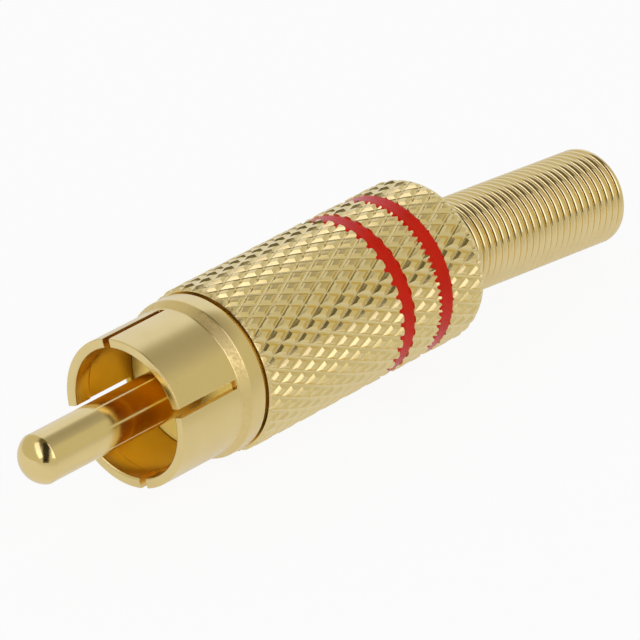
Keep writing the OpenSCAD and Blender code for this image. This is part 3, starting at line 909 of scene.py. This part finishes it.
class PLUG_OT_spring(bpy.types.Operator):
    """Winds the strain relief spring with its flared front turns"""

    bl_idname = "plug.spring"
    bl_label = "Strain relief spring"

    def execute(self, context):
        barrel = context.scene.barrel_sizes
        finish = context.scene.plug_finish
        coil_r = barrel.spring_r - barrel.wire_r
        flare_coil_r = barrel.flare_r - barrel.wire_r
        lean = barrel.flare_r * math.tan(barrel.spring_droop)
        blend_back = -0.5 * barrel.rear_wall - barrel.wire_r - lean - barrel.spring_clear
        wide_turns = barrel.flare_turns + barrel.blend_turns
        coil_front = blend_back - wide_turns * barrel.spring_pitch
        coil_back = 0.5 * barrel.rear_wall + barrel.spring_show - barrel.wire_r
        turns = (coil_back - coil_front) / barrel.spring_pitch

        # The wire runs on a helix that starts wide, and thins to a blunt end over a few rings at both ends
        steps = int(turns * 56)
        turn = np.linspace(0.0, turns, steps + 1)
        share = np.clip((turn - barrel.flare_turns) / barrel.blend_turns, 0.0, 1.0)
        share = share * share * (3.0 - 2.0 * share)
        path_r = flare_coil_r + (coil_r - flare_coil_r) * share
        thickness = np.full(steps + 1, barrel.wire_r)
        thickness[[0, -1]] *= 0.82
        sides = 14
        round_angle = np.linspace(0.0, FULL_TURN, sides, endpoint=False)[None, :]
        radius = path_r[:, None] + thickness[:, None] * np.cos(round_angle)
        depth = coil_front + turn[:, None] * barrel.spring_pitch + thickness[:, None] * np.sin(round_angle)
        angle = FULL_TURN * turn[:, None]
        upright = radius * np.cos(angle)
        sideways = radius * np.sin(angle)

        # The whole coil leans down about its pivot
        cosine = math.cos(barrel.spring_droop)
        sine = math.sin(barrel.spring_droop)
        station = spring_pivot(barrel) + upright * sine + depth * cosine
        points = np.stack((-station, sideways, upright * cosine - depth * sine), axis=-1)
        tube = grid_faces(steps + 1, sides, False).reshape(-1, 4).tolist()
        caps = [list(range(sides)), list(range(steps * sides, (steps + 1) * sides))]
        piece = skin("strain_relief_spring_wire", points, tube + caps, 40.0)
        wire = gold_material("gold_plate_wire", finish.wire, finish.gold_deep, 0.15, 0.08)
        dress(piece, wire, "spring_carrier", "spring_wire", "strain_relief_spring")
        return {"FINISHED"}


def aimed(location, target):
    """Placement that looks from a location to a target, with the world's Z up."""
    location = Vector(location)
    turn = (Vector(target) - location).to_track_quat("-Z", "Y")
    return Matrix.Translation(location) @ turn.to_matrix().to_4x4()


def seen_from(azimuth, elevation, distance, centre):
    """Place at an azimuth from +X towards +Y, an elevation in degrees and a distance from a centre."""
    a = azimuth * DEGREE
    e = elevation * DEGREE
    direction = Vector((math.cos(a) * math.cos(e), math.sin(a) * math.cos(e), math.sin(e)))
    return Vector(centre) + distance * direction


def softbox(name, angles, brightness, centre):
    """Area lamp of a given brightness at a fixed distance from a centre.

    The angles are its azimuth, its elevation, its roll about its own direction, and the width and height
    that it covers. Its size is twice the distance times the tangent of half such an angle.
    """
    azimuth, elevation, roll, width, height = angles
    lamp = bpy.data.lights.new(name, "AREA")
    lamp.shape = "RECTANGLE"
    lamp.size = 2.0 * SOFTBOX_DISTANCE * math.tan(0.5 * width * DEGREE)
    lamp.size_y = 2.0 * SOFTBOX_DISTANCE * math.tan(0.5 * height * DEGREE)
    lamp.energy = brightness * math.pi * lamp.size * lamp.size_y
    lamp.color = SOFTBOX_COLOUR
    box = bpy.data.objects.new(name, lamp)
    place = aimed(seen_from(azimuth, elevation, SOFTBOX_DISTANCE, centre), centre)
    box.matrix_world = place @ Matrix.Rotation(roll * DEGREE, 4, "Z")
    bpy.context.scene.collection.objects.link(box)
    return box


def studio_world(studio):
    """World: white to the camera, and to the plug a pale tent with a dimmer open top.

    The tent is brighter behind on the left. Its left wall ends where minus Y is 0.435 of Z, and the top gets
    darker towards the zenith.
    """
    world = bpy.data.worlds.new("studio_tent")
    world.use_nodes = True
    chain = NodeChain(world.node_tree)
    background = world.node_tree.nodes["Background"]
    direction = chain.add("ShaderNodeTexCoord").outputs["Generated"]
    across = chain.add("ShaderNodeSeparateXYZ", {"Vector": direction}).outputs
    right = (studio.tent, 0.98 * studio.tent, 0.84 * studio.tent, 1.0)
    left = (studio.tent_left, 1.05 * studio.tent_left, 1.25 * studio.tent_left, 1.0)
    top = (studio.tent_top, 0.985 * studio.tent_top, 0.95 * studio.tent_top, 1.0)
    zenith = (0.135, 0.12, 0.07, 1.0)
    leftness = chain.span(across["Y"], 0.0, 1.0, -0.05, -0.35)
    backness = chain.span(across["X"], 1.0, 0.0, -0.5, -0.2)
    walls = chain.blend(chain.reckon("MULTIPLY", leftness, backness), right, left)
    high = chain.span(across["Z"], 0.0, 1.0, 0.60, 0.72)
    slant = chain.reckon("MULTIPLY_ADD", across["Z"], 0.435, across["Y"])
    beside = chain.span(slant, 0.0, 1.0, -0.10, 0.12)
    openness = chain.reckon("MULTIPLY", high, beside)
    sky = chain.blend(chain.span(across["Z"], 0.0, 1.0, 0.76, 0.92), top, zenith)
    tent = chain.blend(openness, walls, sky)
    to_camera = chain.add("ShaderNodeLightPath").outputs["Is Camera Ray"]
    chain.fill(background, {"Color": chain.blend(to_camera, tent, WHITE)})
    return world


def floor_material(studio):
    """White floor: most of what the camera sees is plain white and the rest is lit.

    A part of what the metal sees is a glowing pale tone as well, painted light that is bright and bluish near
    the plug and falls off to grey where Y grows.
    """
    material, chain, shader, coordinate = new_material("studio_floor")
    chain.fill(shader, {"Base Color": opaque(studio.floor), "Roughness": 0.9, "Specular IOR Level": 0.1})
    path = chain.add("ShaderNodeLightPath").outputs
    mirrored = chain.reckon("MAXIMUM", path["Is Glossy Ray"], path["Is Transmission Ray"])
    mirrored = chain.span(mirrored, 0.0, studio.floor_mirrored, 0.0, 1.0)
    direct = chain.span(path["Is Camera Ray"], 0.0, studio.floor_direct, 0.0, 1.0)
    share = chain.reckon("MAXIMUM", direct, mirrored)
    # Painted light: a pool of glow on the floor near the plug, seen only in the metal
    aside = chain.add("ShaderNodeSeparateXYZ", {"Vector": coordinate}).outputs["Y"]
    glow_falloff = chain.span(aside, 0.0, 1.0, 6.0 * MM, 32.0 * MM)
    painted_glow_in_metal = chain.blend(glow_falloff, (0.88, 0.92, 1.02, 1.0), (0.6, 0.6, 0.56, 1.0))
    tone = chain.blend(path["Is Camera Ray"], painted_glow_in_metal, WHITE)
    plain = chain.add("ShaderNodeEmission", {"Color": tone, "Strength": 1.0}).outputs["Emission"]
    mix = chain.add("ShaderNodeMixShader", {0: share, 1: shader.outputs["BSDF"], 2: plain})
    chain.fill(material.node_tree.nodes["Material Output"], {"Surface": mix.outputs["Shader"]})
    return material


def rectangle(name, place, half_x, half_y, material):
    """Flat rectangle about a place, as far as its half sizes along the place's own X and Y."""
    corners = [(-half_x, -half_y, 0.0), (half_x, -half_y, 0.0), (half_x, half_y, 0.0), (-half_x, half_y, 0.0)]
    mesh = bpy.data.meshes.new(name)
    mesh.from_pydata([place @ Vector(corner) for corner in corners], [], [(0, 1, 2, 3)])
    mesh.materials.append(material)
    sheet = bpy.data.objects.new(name, mesh)
    bpy.context.scene.collection.objects.link(sheet)
    return sheet


class PLUG_OT_stage(bpy.types.Operator):
    """Sets up the floor, the tent, the softboxes, the dark flag beside the camera and the camera"""

    bl_idname = "plug.stage"
    bl_label = "Stage"

    def execute(self, context):
        scene = context.scene
        studio = scene.plug_studio
        scene.view_settings.view_transform = "Standard"
        scene.world = studio_world(studio)
        centre = 0.5 * (CAD_BOX[0] + CAD_BOX[1])

        level = Matrix.Translation((0.0, 0.0, BARREL_BOX[0].z))
        floor = rectangle("floor", level, FLOOR_HALF, FLOOR_HALF, floor_material(studio))
        softbox("right_softbox", RIGHT_SOFTBOX, studio.key, centre)
        softbox("left_softbox", LEFT_SOFTBOX, studio.fill, centre)
        front_fill = softbox("front_fill", FRONT_FILL, studio.front, centre)
        front_fill.visible_glossy = False

        cloth, chain, shader, _ = new_material("black_cloth")
        chain.fill(shader, {"Base Color": (0.02, 0.015, 0.005, 1.0), "Roughness": 1.0})
        flag = rectangle("camera_flag", aimed(seen_from(*FLAG_FROM, centre), centre), *FLAG_HALF, cloth)
        flag.visible_camera = False
        flag.visible_diffuse = False
        flag.visible_shadow = False

        camera = bpy.data.cameras.new("photo_camera")
        camera.lens = CAMERA_LENS
        camera.sensor_width = 36.0
        camera.clip_start = 0.01
        camera_object = bpy.data.objects.new("photo_camera", camera)
        eye = Vector(CAMERA_EYE)
        camera_object.matrix_world = aimed(eye, eye + Vector(CAMERA_LOOK))
        scene.collection.objects.link(camera_object)
        scene.camera = camera_object
        return {"FINISHED"}


class PLUG_PT_panel(bpy.types.Panel):
    """Lists the plug's operators and sizes in the sidebar"""

    bl_idname = "PLUG_PT_panel"
    bl_label = "Cable plug"
    bl_space_type = "VIEW_3D"
    bl_region_type = "UI"
    bl_category = "Plug"

    def draw(self, context):
        layout = self.layout
        for operator in OPERATORS:
            layout.operator(operator.bl_idname)
        for group in (context.scene.plug_sizes, context.scene.barrel_sizes, context.scene.plug_finish,
                      context.scene.plug_studio):
            box = layout.box()
            for name in group.bl_rna.properties.keys():
                if name not in ("rna_type", "name"):
                    box.prop(group, name)


GROUPS = {
    "plug_sizes": PlugSizes,
    "barrel_sizes": BarrelSizes,
    "plug_finish": PlugFinish,
    "plug_studio": StudioSetup,
}
OPERATORS = (
    PLUG_OT_centre_pin,
    PLUG_OT_insulators,
    PLUG_OT_ground_collar,
    PLUG_OT_ground_lug,
    PLUG_OT_barrel,
    PLUG_OT_colour_bands,
    PLUG_OT_spring,
    PLUG_OT_stage,
)


def register():
    """Registers the classes and hangs the property groups on the scene."""
    for name, group in GROUPS.items():
        bpy.utils.register_class(group)
        setattr(bpy.types.Scene, name, bpy.props.PointerProperty(type=group))
    for cls in OPERATORS + (PLUG_PT_panel,):
        bpy.utils.register_class(cls)


def unregister():
    """Takes everything back that register added."""
    for cls in reversed(OPERATORS + (PLUG_PT_panel,)):
        bpy.utils.unregister_class(cls)
    for name, group in reversed(list(GROUPS.items())):
        delattr(bpy.types.Scene, name)
        bpy.utils.unregister_class(group)


def main():
    register()
    bpy.ops.plug.centre_pin()
    bpy.ops.plug.insulators()
    bpy.ops.plug.ground_collar()
    bpy.ops.plug.ground_lug()
    bpy.ops.plug.barrel()
    bpy.ops.plug.colour_bands()
    bpy.ops.plug.spring()
    bpy.ops.plug.stage()
    bpy.context.view_layer.update()


if __name__ == "__main__":
    main()
